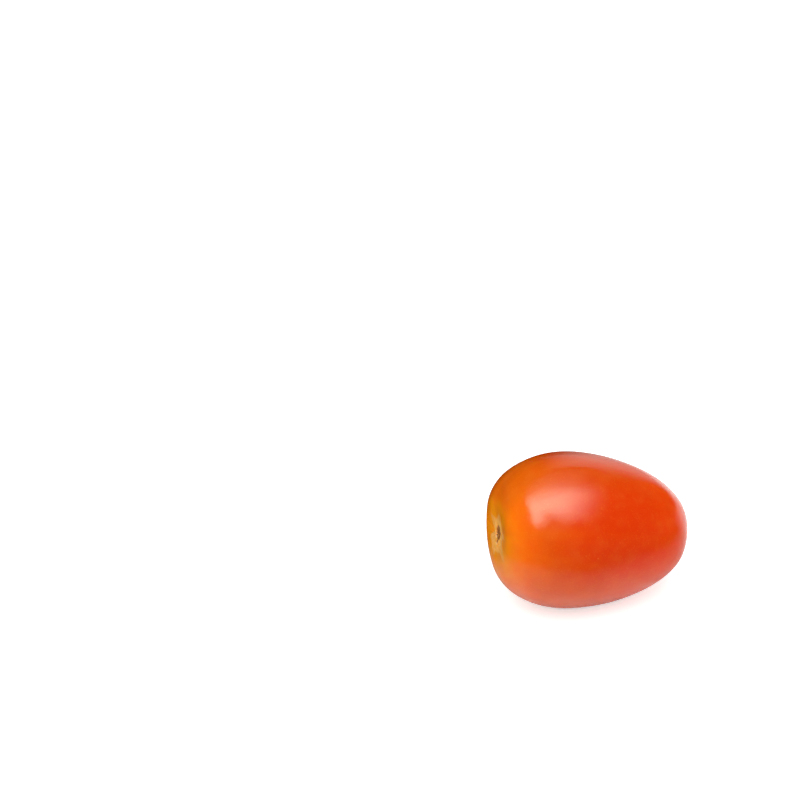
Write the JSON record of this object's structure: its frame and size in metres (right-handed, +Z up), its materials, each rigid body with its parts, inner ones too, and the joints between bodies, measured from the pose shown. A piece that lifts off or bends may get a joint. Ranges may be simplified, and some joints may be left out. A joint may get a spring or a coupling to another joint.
{
  "type": "plum cherry tomato",
  "caption": "Ripe plum-shaped cherry tomato without its stalk, lying on its side on a small flat spot, with a dimpled stem end and a corky scar.",
  "frame": {"origin": "middle of the small flat spot that the fruit rests on, under its weight", "axes": "+Z up from the surface it lies on, +X along the fruit toward the blossom end, -X toward the stem scar"},
  "size_m": [0.0324, 0.0252, 0.0253],
  "materials": {
    "skin": "smooth shiny tomato skin, orange-red, paler and yellower round the stem scar"
  },
  "bodies": {
    "root": {"tomato": "skin"}
  },
  "joints": []
}
